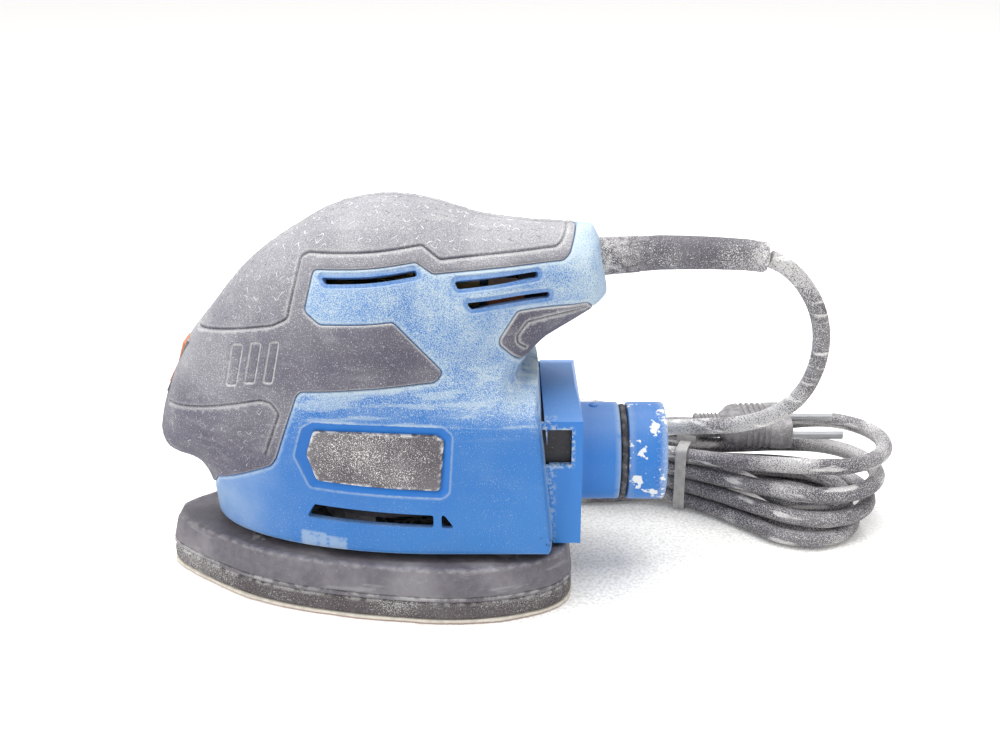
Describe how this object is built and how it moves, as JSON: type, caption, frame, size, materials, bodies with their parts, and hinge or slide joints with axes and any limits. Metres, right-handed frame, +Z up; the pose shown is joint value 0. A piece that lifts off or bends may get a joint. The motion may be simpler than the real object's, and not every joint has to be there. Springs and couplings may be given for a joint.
{
  "type": "detail mouse sander",
  "caption": "Palm-held corded detail sander with a delta orbiting base, rubber-covered body, nose rocker switch, pull-off dust adapter with a round spigot, and a tied mains lead.",
  "frame": {"origin": "on the abrasive face of the base, on the motor axis", "axes": "+X from nose to tail, +Z up out of the sole, +Y to the side of the housing screws"},
  "size_m": [0.2624, 0.1425, 0.1314],
  "materials": {
    "blue_shell": "satin moulded plastic, dusty and scuffed",
    "grip_rubber": "soft overmould, textured on top",
    "dark_plastic": "matt moulded plastic",
    "black_plastic": "satin moulded plastic",
    "pad_foam": "closed-cell foam with a hook face",
    "abrasive_paper": "cloth-backed abrasive, cream edge",
    "switch_orange": "moulded plastic",
    "steel": "machined",
    "iron": "laminated or sintered",
    "copper": "enamelled wire, wound",
    "brass": "drawn",
    "carbon": "pressed carbon",
    "cord_rubber": "rubber sheath, dusty",
    "plug_plastic": "moulded, ribbed"
  },
  "bodies": {
    "root": {"housing_left": "blue_shell", "housing_right": "blue_shell", "grip_left": "grip_rubber", "grip_right": "grip_rubber", "finger_pad_left": "grip_rubber", "finger_pad_right": "grip_rubber", "bearing_cup": "grip_rubber", "flex_post_1": "grip_rubber", "flex_post_2": "grip_rubber", "flex_post_3": "grip_rubber", "flex_post_4": "grip_rubber", "side_plate_left": "dark_plastic", "side_plate_right": "dark_plastic", "switch_bezel": "black_plastic", "switch_body": "black_plastic", "motor_plate": "black_plastic", "dust_duct": "black_plastic", "cord_clamp": "black_plastic", "cable_tie": "black_plastic", "suppressor": "switch_orange", "housing_screw_1": "steel", "housing_screw_2": "steel", "housing_screw_3": "steel", "housing_screw_4": "steel", "housing_screw_5": "steel", "housing_screw_6": "steel", "lower_bearing": "steel", "upper_bearing": "steel", "brush_spring_front": "steel", "brush_spring_rear": "steel", "plug_pin_1": "steel", "plug_pin_2": "steel", "field_core": "iron", "field_coil_front": "copper", "field_coil_rear": "copper", "brush_holder_front": "brass", "brush_holder_rear": "brass", "carbon_brush_front": "carbon", "carbon_brush_rear": "carbon", "strain_relief": "cord_rubber", "cord_lead": "cord_rubber", "cord_end": "cord_rubber", "cord_hank": "cord_rubber", "plug_body": "plug_plastic"},
    "rotor": {"motor_shaft": "steel", "armature_core": "iron", "armature_winding": "copper", "commutator": "brass", "cooling_fan": "dark_plastic", "counterweight": "iron", "eccentric": "steel", "bearing_screw": "steel"},
    "base": {"base_plate": "dark_plastic", "sanding_pad": "pad_foam", "abrasive_sheet": "abrasive_paper", "plate_bearing": "steel"},
    "rocker": {"switch_rocker": "switch_orange"},
    "adapter": {"dust_adapter": "blue_shell", "seal_ring": "cord_rubber"},
    "collar": {"hose_collar": "blue_shell"}
  },
  "joints": [
    {"name": "motor_spin", "type": "hinge", "parent": "root", "child": "rotor", "pos_m": [0, 0, 0.07], "axis": [0, 0, 1], "continuous": true},
    {"name": "plate_orbit", "type": "hinge", "parent": "rotor", "child": "base", "pos_m": [0.001, 0, 0.015], "axis": [0, 0, 1], "continuous": true},
    {"name": "switch_rock", "type": "hinge", "parent": "root", "child": "rocker", "pos_m": [-0.0699, 0, 0.0749], "axis": [0, 1, 0], "range_deg": [0, 12]},
    {"name": "adapter_pull", "type": "slide", "parent": "root", "child": "adapter", "axis": [1, 0, 0], "range_m": [0, 0.018]},
    {"name": "collar_swivel", "type": "hinge", "parent": "adapter", "child": "collar", "pos_m": [0.0886, 0, 0.041], "axis": [1, 0, 0], "continuous": true}
  ],
  "couplings": [
    {"joint": "plate_orbit", "follows": "motor_spin", "ratio": -1}
  ]
}
